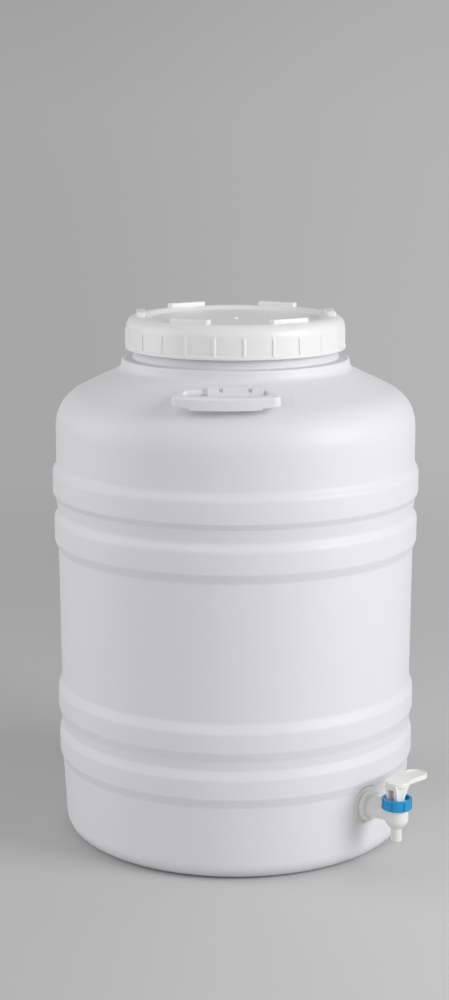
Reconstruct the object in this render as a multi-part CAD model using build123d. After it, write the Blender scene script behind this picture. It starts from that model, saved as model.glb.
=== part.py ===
from build123d import *
import math
import os

# Water drum of about 50 litres with a screw lid, two swing handles and a dispenser tap.
# Millimetres. The origin is the centre of the ring that the drum stands on, +Z is up, and the front
# handle is at -Y. Radii and heights of the drum are measured from that origin.

# Drum body, outside
hoop_r = 189.6  # largest hoop, the topmost one
hoop_inset = [3.0, 2.5, 1.1, 0.0]  # how far each hoop stays inside the largest, from the bottom up
hoop_low = [94.0, 137.0, 313.0, 363.0]  # where each hoop's flat band starts
hoop_band = [13.0, 23.0, 29.0, 25.0]  # height of that band
hoop_rise = [23.0, 15.4, 11.0, 13.6]  # height of the slope below it
hoop_valley_inset = [7.3, 6.0, 4.9, 5.2]  # how far inside the largest hoop that slope starts
hoop_foot_round = 7.0
hoop_low_round = 6.0
hoop_high_round = 5.0
base_inset = 10.4  # how far inside the largest hoop the straight wall meets the floor
mid_wall_inset = 6.2
mid_wall_gap = 10.0  # height of the slope from the second hoop to the wall between the hoops
mid_wall_round = 7.0
top_wall_inset = 4.0
top_wall_gap = 6.0  # height of the slope from the topmost hoop to the wall above it
top_wall_round = 4.0
base_corner = 18.0
stand_ring_w = 31.2  # width of the flat base round the raised middle, up to the wall
stand_ring_round = 4.0
push_up = 7.0  # how far the middle of the base is raised
push_up_slope = 10.0
push_up_round = 8.0
neck_r = 105.5
neck_wall = 3.5
collar_w = 12.5
collar_r = neck_r + collar_w  # moulded ring round the foot of the neck
collar_foot = 490.0
collar_h = 10.3
collar_lean = 1.5
collar_foot_round = 2.0
collar_top_round = 1.5
neck_foot_round = 1.0
shoulder_angle = 25.5
shoulder_corner = 43.0
wall = 3.2

# Lid
lid_gap = 9.7  # between the collar's top and the foot of the lid's skirt
lid_foot = collar_foot + collar_h + lid_gap
lid_h = 33.8
lid_wall = 3.1
thread_room = 3.6  # radial room for the thread, between the neck and the lid's skirt
lid_r = neck_r + thread_room + lid_wall
lid_corner = 11.5
lid_inner_corner = 5.0
lid_band_h = 3.0  # plain band round the foot of the skirt
lid_band_proud = 0.9
lid_rim_w = 20.7
lid_recess_r = lid_r - lid_rim_w
lid_recess_depth = 4.2
lid_recess_lean = 1.0
lid_nub_r = 2.6
lid_nub_h = 1.2
grip_rib_count = 24
grip_rib_w = 3.0
grip_rib_proud = 1.0
grip_rib_drop = 7.0  # from the rim's top down to the ribs
grip_rib_run_out = 4.5  # length over which a rib's upper end fades into the rounded rim
grip_rib_fade = 1.6  # how far it leans in over that length
grip_rib_turn = -85.7  # the first rib's direction, in degrees from +X
bar_count = 6
bar_turn = 2.7
bar_inset = 15.2  # from the lid's side to the middle of each bar
bar_len = 42.0
bar_w = 9.0
bar_h = 4.4
bar_sink = 1.5  # how far a bar's root is buried in the rim
bar_corner = 1.2
bar_round = 0.9
gasket_t = 2.3
gasket_edge = 1.5  # how far the gasket stays inside the neck's outside
gasket_overhang = 3.0  # how far it reaches past the neck's inside
seat_gap = 0.2  # between the gasket and the neck's mouth
neck_top = lid_foot + lid_h - lid_wall - gasket_t - seat_gap

# Handles and the lugs that carry them
pivot_past_collar = 20.9  # from the collar out to the axis of the handle's bar
pivot_rise = 1.4686  # height of that axis above the sloping shoulder
pivot_y = collar_r + pivot_past_collar
pivot_z = collar_foot - pivot_past_collar * math.tan(math.radians(shoulder_angle)) + pivot_rise
handle_droop = 7.5  # how far the handle hangs below level at rest, in degrees
handle_bar_r = 4.5
handle_fit = 0.08  # radial clearance of the bar in the lug
handle_reach = 38.6  # from the bar's axis to the outer edge of the grip
handle_bow = 8.0  # how far the grip's middle stands out from its ends
handle_corner = 10.0
finger_w = 78.0
opening_spread = 5.0  # how much wider than the bar the opening gets on each side
arm_w = 8.0  # width of each arm at the bar
arm_flare = 3.0  # how much wider it gets towards the grip
handle_neck_w = finger_w + 2 * arm_w
handle_w = handle_neck_w + 2 * (opening_spread + arm_flare)
opening_bow = 5.6
opening_corner = 7.0
grip_depth = 12.0
grip_top = 5.6  # height of the grip's outer edge above the plane through the bar's axis
grip_under = 5.2  # depth of the grip's inner edge below that plane
arm_top = 4.2
arm_under = 4.0  # at the bar, where the arms come to rest on the shoulder
lip_under = 6.4  # depth of the thin lip along the grip's outer edge
hub_r = 4.6  # end of the arms past the bar's axis
hub_top_corner = 3.4
hub_under_corner = 2.8
handle_round = 2.2
front_handle_shift = -9.0  # a handle can slide along its bar, and the front one has
rear_handle_shift = 0.0
core_count = 4  # pockets that core out the grip from beneath
core_side = 4.0  # from the finger opening's side to the outermost pocket
core_span = finger_w - 2 * core_side
core_rib = 2.4
core_wall = 2.8
lug_w = 54.0
lug_wall = 3.4
lug_skirt = 3.0  # how far the lug's root spreads on each side
lug_slot_w = 4.0  # the two slots that split the lug into three knuckles
lug_slot_at = 14.0
groove_gap = 1.2  # room for the bar in the shoulder, on each side of the lug

# Tap. Its pieces are made about the middle of its flat seat on the drum: x runs outwards along the
# shank and z upwards, so every height below is measured from the shank's axis.
tap_direction = -44.0  # degrees from +X
tap_z = 62.0  # height of the shank's axis above the floor
tap_pad_r = 19.2
tap_pad_inset = 7.4  # how far inside the largest hoop the flat seat lies
tap_pad_wall = 3.6
tap_seat_r = 21.5  # the flat inside, wider than the outer face so that the wall stays thick at the step
tap_hole_r = 8.2
washer_r = 18.5
washer_t = 2.6
inner_washer_r = 17.0
inner_washer_t = 2.5
washer_clear = 0.2  # radial, round the shank
nut_af = 27.0
nut_h = 7.0
flange_r = 15.2
flange_t = 6.0
flange_edge = 1.2
shank_r = 7.8
shank_tail = 3.5  # length of shank past the lock nut
shank_bore_r = 5.2
spigot_r = 11.2
barrel_x = 40.6  # from the flat seat to the valve's axis
barrel_r = 11.7
barrel_top = 10.0
barrel_shoulder = -11.0
barrel_shoulder_round = 9.0
chamber_r = 9.3
seat_z = -9.5
seat_hole_r = 4.2
nozzle_r = 5.4
nozzle_bore_r = 3.9
nozzle_top = -17.0
nozzle_foot = -27.6
nozzle_round = 2.5
rim_ledge_r = 11.0
rim_ledge_depth = 1.4

# Collar, bonnet and valve
collar_nut_r = 15.2
collar_nut_grip = 3.5  # length of the barrel inside the collar
collar_nut_stand = 7.5  # how far the collar stands above the barrel
collar_nut_clear = 0.1
collar_room = 0.5  # gap between the collar and the spigot beneath it
collar_lip_t = 1.8
collar_lip_r = 8.6
collar_cup_r = 12.3
collar_groove_count = 8
collar_groove_w = 1.4
collar_groove_depth = 0.8
bonnet_t = 2.2
bonnet_flange_clear = 0.5
bonnet_hub_clear = 0.3
bonnet_h = 5.0
bonnet_top = barrel_top + bonnet_h
stem_r = 3.0
stem_fit = 0.06  # radial clearance of the stem in the bonnet
stem_flange_r = 4.6
stem_flange_t = 1.3
stem_foot_gap = 2.3  # from the seat up to the stem's foot
stem_foot_z = seat_z + stem_foot_gap
stem_foot_h = 2.4  # from the stem's foot up to its flange
stem_flange_z = stem_foot_z + stem_foot_h
blade_t = 5.6
blade_w = 8.0
blade_gap = 1.2  # from the bonnet up to the blade
blade_root = 2.0  # how far the round stem reaches into the blade
spring_wire_r = 0.45
spring_mean_r = 3.95
spring_turns = 6
spring_gap = 0.1
cup_foot_r = 6.6
cup_foot_t = 2.6
cup_wall = 0.9
cup_bell_r = 5.9
cup_flare_z = 1.0
cup_flare_clear = 0.5  # between the flared top and the chamber
cup_flare_drop = 1.0  # height of the straight stretch above the flare
cup_socket_clear = 0.1
cup_seat_gap = 0.1

# Lever and its pin
pin_rise = 7.0  # from the bonnet's top to the pin's axis
pin_z = bonnet_top + pin_rise
pin_r = 1.25
pin_fit = 0.06
pin_hold = 0.02
lever_direction = 50.0  # degrees from +X at rest
cheek_gap = 0.4  # on each side of the stem's blade
cheek_t = 3.6
cam_gap = 0.2
cheek_low_back = 8.5  # the cheeks' foot reaches this far behind the pin
cheek_low_front = 6.5
cheek_high_back = 11.2
cheek_high_front = 10.4
cheek_clear = 1.5  # room above the blade's round head
plate_rise = 7.8  # from the pin's axis to the underside of the lever's plate
plate_foot = pin_z + plate_rise
plate_t = 5.0
plate_round = 1.1
plate_hub_r = 11.6
paddle_r = 11.3
lever_reach = 43.5
paddle_waist_half = 7.8
paddle_dish = 1.0
paddle_rim = 1.8

tap_spot = Rot(0, 0, tap_direction) * Pos(hoop_r - tap_pad_inset, 0, tap_z)
pivot_fit_r = handle_bar_r + handle_fit
groove_r = handle_bar_r + groove_gap


def rounded_line(points, corners):
    """Line through points, rounded at each point between the first and the last.

    A rounding takes radius * tan(turn / 2) of both sides of its corner. Where two neighbours need more
    than the side between them has, both get smaller in proportion.
    """
    turns = []
    for before, corner, after in zip(points, points[1:], points[2:]):
        turn = math.atan2(after[1] - corner[1], after[0] - corner[0])
        turn -= math.atan2(corner[1] - before[1], corner[0] - before[0])
        turns.append(math.tan(abs((turn + math.pi) % (2 * math.pi) - math.pi) / 2))
    taken = [0.0] + [radius * turn for radius, turn in zip(corners, turns)] + [0.0]
    shares = []
    for i in range(len(points) - 1):
        side = 0.995 * math.dist(points[i], points[i + 1])
        shares.append(min(1.0, side / max(taken[i] + taken[i + 1], 1e-6)))
    limited = [radius * min(shares[i], shares[i + 1]) for i, radius in enumerate(corners)]
    return FilletPolyline(*points, radius=limited)


def revolved(points, corners=None):
    """Solid of revolution about Z from (radius, height) points that start and end on the axis.

    corners gives the rounding of each point between the first and the last.
    """
    line = rounded_line(points, corners) if corners else Polyline(*points)
    return revolve(Plane.XZ * make_face(line + Line(points[-1], points[0])), axis=Axis.Z)


def disc(radius, foot, height):
    """Upright cylinder by its radius, foot and height."""
    return Pos(0, 0, foot) * Cylinder(radius, height, align=(Align.CENTER, Align.CENTER, Align.MIN))


def ring(outer, inner, foot, height):
    """Upright ring."""
    return disc(outer, foot, height) - disc(inner, foot, height)


def outward(radius, start, end):
    """Cylinder along the tap's shank, between two distances from the flat seat."""
    bar = Cylinder(radius, end - start, align=(Align.CENTER, Align.CENTER, Align.MIN))
    return Pos(start, 0, 0) * Rot(0, 90, 0) * bar


def drum_outline():
    """(radius, height) points of the drum's outside, from the base's centre up, and the corners' radii."""
    wall_base_r = hoop_r - base_inset
    ring_r = wall_base_r - stand_ring_w
    points = [(0, push_up), (ring_r - push_up_slope, push_up), (ring_r, 0), (wall_base_r, 0)]
    corners = [push_up_round, stand_ring_round, base_corner]
    for i in range(len(hoop_low)):
        crest_r = hoop_r - hoop_inset[i]
        hoop_high = hoop_low[i] + hoop_band[i]
        points.append((hoop_r - hoop_valley_inset[i], hoop_low[i] - hoop_rise[i]))
        points += [(crest_r, hoop_low[i]), (crest_r, hoop_high)]
        corners += [hoop_foot_round, hoop_low_round, hoop_high_round]
        if i == 1:
            points.append((hoop_r - mid_wall_inset, hoop_high + mid_wall_gap))
            corners.append(mid_wall_round)
    top_wall_r = hoop_r - top_wall_inset
    points.append((top_wall_r, hoop_high + top_wall_gap))
    corners.append(top_wall_round)
    shoulder_z = collar_foot - (top_wall_r - collar_r) * math.tan(math.radians(shoulder_angle))
    collar_top = collar_foot + collar_h
    points += [(top_wall_r, shoulder_z), (collar_r, collar_foot), (collar_r - collar_lean, collar_top)]
    corners += [shoulder_corner, collar_foot_round, collar_top_round]
    points += [(neck_r, collar_top), (neck_r, neck_top), (0, neck_top)]
    corners += [collar_top_round, neck_foot_round]
    return points, corners


def at_handles(shape):
    """A shape made at the front handle, with its copy on the back."""
    return [shape, Rot(0, 0, 180) * shape]


def bar_cylinder(radius, length, shift=0.0):
    """Cylinder along the front handle's bar."""
    return Pos(shift, -pivot_y, pivot_z) * Rot(0, 90, 0) * Cylinder(radius, length)


def make_lug():
    """Ear on the shoulder that wraps the handle's bar, with two slots across its top."""
    radius = pivot_fit_r + lug_wall
    slope = math.radians(shoulder_angle)
    root = 2 * pivot_fit_r
    spread = radius + lug_skirt
    profile = Plane.YZ * (
        Pos(-pivot_y, pivot_z) * Circle(radius)
        + make_face(
            Polyline(
                (-pivot_y + radius, pivot_z),
                (-pivot_y - radius * math.sin(slope), pivot_z + radius * math.cos(slope)),
                (-pivot_y - radius, pivot_z),
                (-pivot_y - spread, pivot_z - root),
                (-pivot_y + spread, pivot_z - root + spread * math.tan(slope)),
                close=True,
            )
        )
    )
    lug = extrude(profile, amount=lug_w / 2, both=True)
    for side in (-1, 1):
        slot = Box(lug_slot_w, 2 * radius, radius, align=(Align.CENTER, Align.CENTER, Align.MIN))
        lug -= Pos(side * lug_slot_at, -pivot_y, pivot_z + handle_bar_r / 2) * slot
    return lug


def make_drum_body():
    """Blow-moulded shell: outside less inside, with the lugs, the bar's grooves and the tap's flat seat."""
    points, corners = drum_outline()
    edge = rounded_line(points, corners)
    outside = revolve(Plane.XZ * make_face(edge + Line(points[-1], points[0])), axis=Axis.Z)
    past_axis = Polyline(points[-1], (-2 * wall, neck_top), (-2 * wall, push_up), points[0])
    one_side = Pos(hoop_r / 2, neck_top / 2) * Rectangle(hoop_r, neck_top)
    inside = revolve(Plane.XZ * (offset(make_face(edge + past_axis), amount=-wall) & one_side), axis=Axis.Z)
    inside += disc(neck_r - neck_wall, collar_foot - wall, neck_top - collar_foot + 2 * wall)
    for lug in at_handles(make_lug()):
        outside += lug
    groove_len = handle_neck_w + 2 * groove_gap
    backing_len = groove_len + 2 * wall
    for backing in at_handles(bar_cylinder(groove_r + wall, backing_len)):
        inside -= backing
    for bore in at_handles(bar_cylinder(pivot_fit_r, lug_w + 2 * wall)):
        outside -= bore
    side_len = (groove_len - lug_w) / 2
    for side in (-1, 1):
        for groove in at_handles(bar_cylinder(groove_r, side_len, side * (lug_w + side_len) / 2)):
            outside -= groove
    pad = outward(tap_pad_r, -3 * wall, 0)
    pad_relief = outward(tap_pad_r, 0, tap_pad_inset + wall)
    recess = outward(tap_seat_r, -4 * wall, -tap_pad_wall)
    seat_back = outward(tap_seat_r, -tap_pad_wall, tap_pad_inset)
    outside = outside + tap_spot * pad - tap_spot * pad_relief
    inside = inside + tap_spot * recess - tap_spot * seat_back
    hole = outward(tap_hole_r, -5 * wall, wall)
    return outside - inside - tap_spot * hole


def make_lid():
    """Screw lid: raised rim round a recessed disc, a skirt with grip ribs, and six bars on the rim."""
    top = lid_foot + lid_h
    floor = top - lid_recess_depth
    skirt_bore = lid_r - lid_wall
    channel_r = lid_recess_r + lid_recess_lean + lid_wall
    outside = revolved(
        [
            (0, lid_foot),
            (lid_r + lid_band_proud, lid_foot),
            (lid_r + lid_band_proud, lid_foot + lid_band_h),
            (lid_r, lid_foot + lid_band_h + lid_band_proud),
            (lid_r, top),
            (lid_recess_r + lid_recess_lean, top),
            (lid_recess_r, floor),
            (0, floor),
        ],
        [0.7, 0.6, 0.6, lid_corner, 1.0, 1.5],
    )
    bore = disc(skirt_bore, lid_foot, lid_h - lid_wall)
    bore = fillet(bore.edges().group_by(Axis.Z)[-1], lid_inner_corner)
    inside = bore - disc(channel_r, floor - lid_wall, lid_recess_depth)
    lid = outside - inside + disc(lid_nub_r, floor, lid_nub_h)
    rib_foot = lid_foot + lid_band_h
    rib_len = lid_h - lid_band_h - grip_rib_drop
    side = [(-lid_wall, 0), (0, 0), (0, rib_len - grip_rib_run_out)]
    side += [(-grip_rib_fade, rib_len), (-lid_wall, rib_len)]
    rib_block = extrude(Plane.XZ * make_face(Polyline(*side, close=True)), amount=grip_rib_w / 2, both=True)
    rib_block = chamfer(rib_block.edges().filter_by(Axis.Z).group_by(Axis.X)[-1], grip_rib_proud * 0.7)
    for i in range(grip_rib_count):
        turn = Rot(0, 0, grip_rib_turn + 360 * i / grip_rib_count)
        lid += turn * Pos(lid_r + grip_rib_proud, 0, rib_foot) * rib_block
    bar = Box(bar_w, bar_len, bar_h + bar_sink, align=(Align.CENTER, Align.CENTER, Align.MIN))
    bar = fillet(bar.edges().filter_by(Axis.Z), bar_corner)
    bar = fillet(bar.edges().group_by(Axis.Z)[-1], bar_round)
    for i in range(bar_count):
        turn = Rot(0, 0, bar_turn + 360 * i / bar_count)
        lid += turn * Pos(lid_r - bar_inset, 0, top - bar_sink) * bar
    return lid


def make_lid_gasket():
    """Flat ring under the lid's rim, on the mouth of the neck."""
    seat = lid_foot + lid_h - lid_wall
    return ring(neck_r - gasket_edge, neck_r - neck_wall - gasket_overhang, seat - gasket_t, gasket_t)


def handle_plane(shift):
    """Plane of the front handle at rest: x along the bar, y outwards to the grip, z downwards."""
    droop = math.radians(handle_droop)
    down = (0, math.sin(droop), -math.cos(droop))
    return Plane(origin=(shift, -pivot_y, pivot_z), x_dir=(1, 0, 0), z_dir=down)


def bowed_face(half_near, half_far, near, far, bow, corner):
    """Face in the handle's plane: straight sides that spread from near to a bowed far edge."""
    edge = ThreePointArc((-half_far, far - bow), (0, far), (half_far, far - bow))
    sides = [(half_far, far - bow), (half_near, max(near, 0)), (half_near, near)]
    mirrored = [(-x, y) for x, y in reversed(sides)]
    face = make_face(edge + Polyline(*sides, *mirrored))
    return fillet(face.vertices().group_by(Axis.Y)[-1], corner)


def grip_side():
    """Side view of the handle: distance from the bar, and depth below the plane through its axis."""
    far = handle_reach + grip_depth

    def above(distance):
        return -arm_top - (grip_top - arm_top) * distance / handle_reach

    def below(distance):
        return arm_under + (grip_under - arm_under) * distance / (handle_reach - grip_depth)

    points = [(far, above(far)), (-hub_r, above(-hub_r)), (-hub_r, below(-hub_r)), (far, below(far))]
    rounding = [hub_top_corner, hub_under_corner]
    return make_face(FilletPolyline(*points, radius=rounding) + Line(points[3], points[0]))


def perimeter(loop, direction):
    """Edges round the broad flat face that looks up (-1) or down (+1), less its edge at the bar."""
    flats = [f for f in loop.faces() if f.geom_type == GeomType.PLANE and f.normal_at().Z * direction > 0.9]
    broad = max(flats, key=lambda f: f.area)
    return [e for e in broad.edges() if abs((e @ 0).Y - (e @ 1).Y) > 0.01 or (e @ 0.5).Y > hub_r]


def make_handle(shift):
    """Loop handle: round bar, two spreading arms and a bowed grip that is cored from beneath."""
    grip_inner = handle_reach - grip_depth
    opening_half = finger_w / 2 + opening_spread
    outer = bowed_face(handle_neck_w / 2, handle_w / 2, -2 * hub_r, handle_reach, handle_bow, handle_corner)
    opening = bowed_face(finger_w / 2, opening_half, -3 * hub_r, grip_inner, opening_bow, opening_corner)
    loop = extrude(outer - opening, amount=grip_depth, both=True)
    loop = loop & extrude(Plane.YZ * grip_side(), amount=handle_w, both=True)
    loop = fillet(perimeter(loop, -1) + perimeter(loop, 1), handle_round)
    inset = offset(outer, amount=-core_wall)
    band = inset - offset(opening, amount=core_wall)
    pitch = (core_span + core_rib) / core_count
    for i in range(core_count):
        middle = (i - (core_count - 1) / 2) * pitch
        core = band & Pos(middle, handle_reach) * Rectangle(pitch - core_rib, 2 * grip_depth)
        loop -= Pos(0, 0, core_wall - grip_top) * extrude(core, amount=2 * grip_top)
    lip = (outer - inset) & Pos(0, handle_reach) * Rectangle(core_span, 2 * grip_depth)
    loop += extrude(lip, amount=lip_under)
    bar = Rot(0, 90, 0) * Cylinder(handle_bar_r, finger_w + handle_bar_r)
    return handle_plane(shift) * (loop + bar)


def make_tap_washer():
    """Soft washer between the drum's flat seat and the tap's flange."""
    return outward(washer_r, 0, washer_t) - outward(shank_r + washer_clear, 0, washer_t)


def make_inner_washer():
    """Soft washer on the inside of the wall."""
    bore = outward(shank_r + washer_clear, -tap_pad_wall - inner_washer_t, -tap_pad_wall)
    return outward(inner_washer_r, -tap_pad_wall - inner_washer_t, -tap_pad_wall) - bore


def make_lock_nut():
    """Six-sided nut that pulls the shank tight from inside the drum."""
    face = -tap_pad_wall - inner_washer_t
    blank = extrude(RegularPolygon(nut_af / 2, 6, major_radius=False), amount=nut_h)
    blank = Pos(face - nut_h, 0, 0) * Rot(0, 90, 0) * blank
    return blank - outward(shank_r + washer_clear / 4, face - nut_h, face)


def make_tap_body():
    """One moulding: shank, flange, spigot, upright valve barrel with its seat, and nozzle."""
    nut_tail = -tap_pad_wall - inner_washer_t - nut_h - shank_tail
    flange = outward(flange_r, washer_t, washer_t + flange_t)
    flange = fillet(flange.edges().filter_by(GeomType.CIRCLE), flange_edge)
    barrel = revolved(
        [
            (0, nozzle_foot),
            (nozzle_r, nozzle_foot),
            (nozzle_r, nozzle_top),
            (barrel_r, barrel_shoulder),
            (barrel_r, barrel_top),
            (0, barrel_top),
        ],
        [0.5, nozzle_round, barrel_shoulder_round, 0.4],
    )
    body = outward(shank_r, nut_tail, washer_t + flange_t) + flange
    body += outward(spigot_r, washer_t, barrel_x) - Pos(barrel_x, 0, 0) * disc(
        collar_nut_r + collar_room, barrel_top - collar_nut_grip - collar_room, spigot_r
    )
    body += Pos(barrel_x, 0, 0) * barrel
    chamber = disc(chamber_r, seat_z, barrel_top - seat_z)
    chamber += disc(rim_ledge_r, barrel_top - rim_ledge_depth, rim_ledge_depth)
    chamber += disc(seat_hole_r, nozzle_top, seat_z - nozzle_top)
    chamber += disc(nozzle_bore_r, nozzle_foot, seat_z - nozzle_foot)
    return body - Pos(barrel_x, 0, 0) * chamber - outward(shank_bore_r, nut_tail, barrel_x)


def make_collar_nut():
    """Ring nut: grips the barrel, clamps the bonnet with its inner lip and stands up round it as a cup."""
    foot = barrel_top - collar_nut_grip
    top = barrel_top + collar_nut_stand
    lip_foot = barrel_top + bonnet_t
    lip_top = lip_foot + collar_lip_t
    nut = disc(collar_nut_r, foot, top - foot)
    nut = fillet(nut.edges().filter_by(GeomType.CIRCLE), 0.8)
    nut -= disc(barrel_r + collar_nut_clear, foot, lip_foot - foot)
    nut -= disc(collar_lip_r, lip_foot, collar_lip_t)
    nut -= disc(collar_cup_r, lip_top, top - lip_top)
    groove = Box(2 * collar_groove_depth, collar_groove_w, top - foot)
    for i in range(collar_groove_count):
        turn = Rot(0, 0, 360 * (i + 0.5) / collar_groove_count - 90 - tap_direction)
        nut -= turn * Pos(collar_nut_r, 0, (foot + top) / 2) * groove
    return Pos(barrel_x, 0, 0) * nut


def make_bonnet():
    """Disc on the barrel's mouth with a hub that guides the stem and takes the cams' push."""
    hub_r = collar_lip_r - bonnet_hub_clear
    bonnet = disc(barrel_r - bonnet_flange_clear, barrel_top, bonnet_t)
    bonnet += disc(hub_r, barrel_top, bonnet_h)
    return Pos(barrel_x, 0, 0) * (bonnet - disc(stem_r + stem_fit, barrel_top, bonnet_h))


def make_stem():
    """Round rod with a spring flange and a foot below, and a flat blade with the pin's hole above."""
    blade_foot = bonnet_top + blade_gap
    stem = disc(stem_r, stem_foot_z, blade_foot + blade_root - stem_foot_z)
    stem += disc(stem_flange_r, stem_flange_z, stem_flange_t)
    blade = Pos(0, 0, blade_foot) * Box(
        blade_w, blade_t, pin_z - blade_foot, align=(Align.CENTER, Align.CENTER, Align.MIN)
    )
    head = Pos(0, 0, pin_z) * Rot(90, 0, 0) * Cylinder(blade_w / 2, blade_t)
    hole = Pos(0, 0, pin_z) * Rot(90, 0, 0) * Cylinder(pin_r + pin_hold, 2 * blade_t)
    return stem + blade + head - hole


def make_spring():
    """Compression spring between the stem's flange and the bonnet."""
    foot = stem_flange_z + stem_flange_t + spring_gap
    height = barrel_top - spring_gap - foot - 2 * spring_wire_r
    path = Helix(pitch=height / spring_turns, height=height, radius=spring_mean_r)
    wire = Plane(origin=path @ 0, z_dir=path % 0) * Circle(spring_wire_r)
    return Pos(barrel_x, 0, foot + spring_wire_r) * sweep(wire, path=path)


def make_seat_cup():
    """Silicone cup: foot on the seat, bell round the spring, and a rim held between barrel and bonnet."""
    foot_z = seat_z + cup_seat_gap
    rim_z = barrel_top - rim_ledge_depth + cup_seat_gap
    rim_top = barrel_top - cup_seat_gap
    rim_r = rim_ledge_r - 0.2
    bell_in = cup_bell_r - cup_wall
    flare_r = chamber_r - cup_flare_clear
    outer = [
        (0, foot_z),
        (cup_foot_r, foot_z),
        (cup_foot_r, foot_z + cup_foot_t),
        (cup_bell_r, foot_z + cup_foot_t + 0.6),
        (cup_bell_r, cup_flare_z),
        (flare_r, rim_z - cup_flare_drop),
        (flare_r, rim_z),
        (rim_r, rim_z),
        (rim_r, rim_top),
        (0, rim_top),
    ]
    hollow = [
        (0, stem_foot_z - cup_socket_clear),
        (stem_r + cup_socket_clear, stem_foot_z - cup_socket_clear),
        (stem_r + cup_socket_clear, stem_flange_z - cup_socket_clear),
        (bell_in, stem_flange_z - cup_socket_clear),
        (bell_in, cup_flare_z),
        (flare_r - cup_wall, rim_z - cup_flare_drop),
        (flare_r - cup_wall, rim_top),
        (0, rim_top),
    ]
    return Pos(barrel_x, 0, 0) * (revolved(outer) - revolved(hollow))


def make_pin():
    """Pin across the cheeks and the stem's blade."""
    return Pos(0, 0, pin_z) * Rot(90, 0, 0) * Cylinder(pin_r, blade_t + 2 * (cheek_gap + cheek_t))


def make_lever():
    """Two cam cheeks under a plate that spreads into a dished paddle; x runs towards the tip."""
    half_gap = blade_t / 2 + cheek_gap
    foot_z = bonnet_top + cam_gap
    cheek = make_face(
        Polyline(
            (-cheek_low_back, foot_z),
            (cheek_low_front, foot_z),
            (cheek_high_front, plate_foot + plate_t / 2),
            (-cheek_high_back, plate_foot + plate_t / 2),
            close=True,
        )
    )
    cheek = fillet(cheek.vertices().group_by(Axis.Y)[0], 1.0)
    cheeks = extrude(Plane.XZ * cheek, amount=half_gap + cheek_t, both=True)
    slot_top = pin_z + blade_w / 2 + cheek_clear
    slot_size = (4 * cheek_high_back, 2 * half_gap, slot_top - bonnet_top)
    slot = Box(*slot_size, align=(Align.CENTER, Align.CENTER, Align.MAX))
    cheeks -= Pos(0, 0, slot_top) * slot
    paddle_x = lever_reach - paddle_r
    neck = make_face(
        Polyline(
            (0, -paddle_waist_half - 1),
            (paddle_x * 0.5, -paddle_waist_half),
            (paddle_x, -paddle_r),
            (paddle_x, paddle_r),
            (paddle_x * 0.5, paddle_waist_half),
            (0, paddle_waist_half + 1),
            close=True,
        )
    )
    outline = Circle(plate_hub_r) + neck + Pos(paddle_x, 0) * Circle(paddle_r)
    plate = Pos(0, 0, plate_foot) * extrude(outline, amount=plate_t)
    plate = fillet(plate.edges().group_by(Axis.Z)[0] + plate.edges().group_by(Axis.Z)[-1], plate_round)
    dish = Pos(paddle_x, 0, plate_foot + plate_t - paddle_dish) * extrude(
        Circle(paddle_r - paddle_rim), amount=2 * paddle_dish
    )
    plate = plate - dish
    hole = Pos(0, 0, pin_z) * Rot(90, 0, 0) * Cylinder(pin_r + pin_fit, 4 * half_gap + 4 * cheek_t)
    return cheeks + plate - hole


def at_lever(shape):
    """Place a shape made about the valve's axis at the tap, turned as the lever rests."""
    return Pos(barrel_x, 0, 0) * Rot(0, 0, lever_direction - tap_direction) * shape


def main():
    on_drum = {
        "drum_body": make_drum_body(),
        "lid": make_lid(),
        "lid_gasket": make_lid_gasket(),
        "front_handle": make_handle(front_handle_shift),
        "rear_handle": Rot(0, 0, 180) * make_handle(rear_handle_shift),
    }
    on_tap = {
        "tap_outer_washer": make_tap_washer(),
        "tap_inner_washer": make_inner_washer(),
        "tap_lock_nut": make_lock_nut(),
        "tap_body": make_tap_body(),
        "tap_collar": make_collar_nut(),
        "tap_bonnet": make_bonnet(),
        "tap_spring": make_spring(),
        "tap_seat_cup": make_seat_cup(),
        "tap_stem": at_lever(make_stem()),
        "lever_pin": at_lever(make_pin()),
        "tap_lever": at_lever(make_lever()),
    }
    os.makedirs("parts", exist_ok=True)
    for name, shape in on_drum.items():
        export_step(shape, f"parts/{name}.step")
    for name, shape in on_tap.items():
        export_step(tap_spot * shape, f"parts/{name}.step")


main()
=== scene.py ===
import math

import bmesh
import bpy
import numpy as np
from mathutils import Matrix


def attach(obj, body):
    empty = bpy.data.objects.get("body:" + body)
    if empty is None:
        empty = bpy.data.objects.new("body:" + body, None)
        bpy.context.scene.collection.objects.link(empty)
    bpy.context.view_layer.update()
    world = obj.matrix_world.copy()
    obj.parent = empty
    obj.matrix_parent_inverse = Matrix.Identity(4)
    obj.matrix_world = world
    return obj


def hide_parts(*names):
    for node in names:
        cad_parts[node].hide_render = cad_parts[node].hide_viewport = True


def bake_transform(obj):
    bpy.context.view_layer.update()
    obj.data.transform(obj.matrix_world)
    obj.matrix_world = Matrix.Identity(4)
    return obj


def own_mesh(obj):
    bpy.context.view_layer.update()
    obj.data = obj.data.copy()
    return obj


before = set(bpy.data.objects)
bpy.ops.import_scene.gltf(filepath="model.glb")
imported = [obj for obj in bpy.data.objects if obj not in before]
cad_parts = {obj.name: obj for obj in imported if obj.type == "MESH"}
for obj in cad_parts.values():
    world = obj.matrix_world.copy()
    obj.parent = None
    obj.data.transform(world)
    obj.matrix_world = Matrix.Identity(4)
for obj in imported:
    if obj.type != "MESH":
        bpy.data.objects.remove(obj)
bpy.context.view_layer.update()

# The part's own frame: the drum stands on z = 0 and its front handle is at -Y. Shapes are worked
# out in millimetres and become metres when their mesh is made.

MM = 1000.0  # millimetres in a metre

# Sizes that the CAD part has as well

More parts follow.
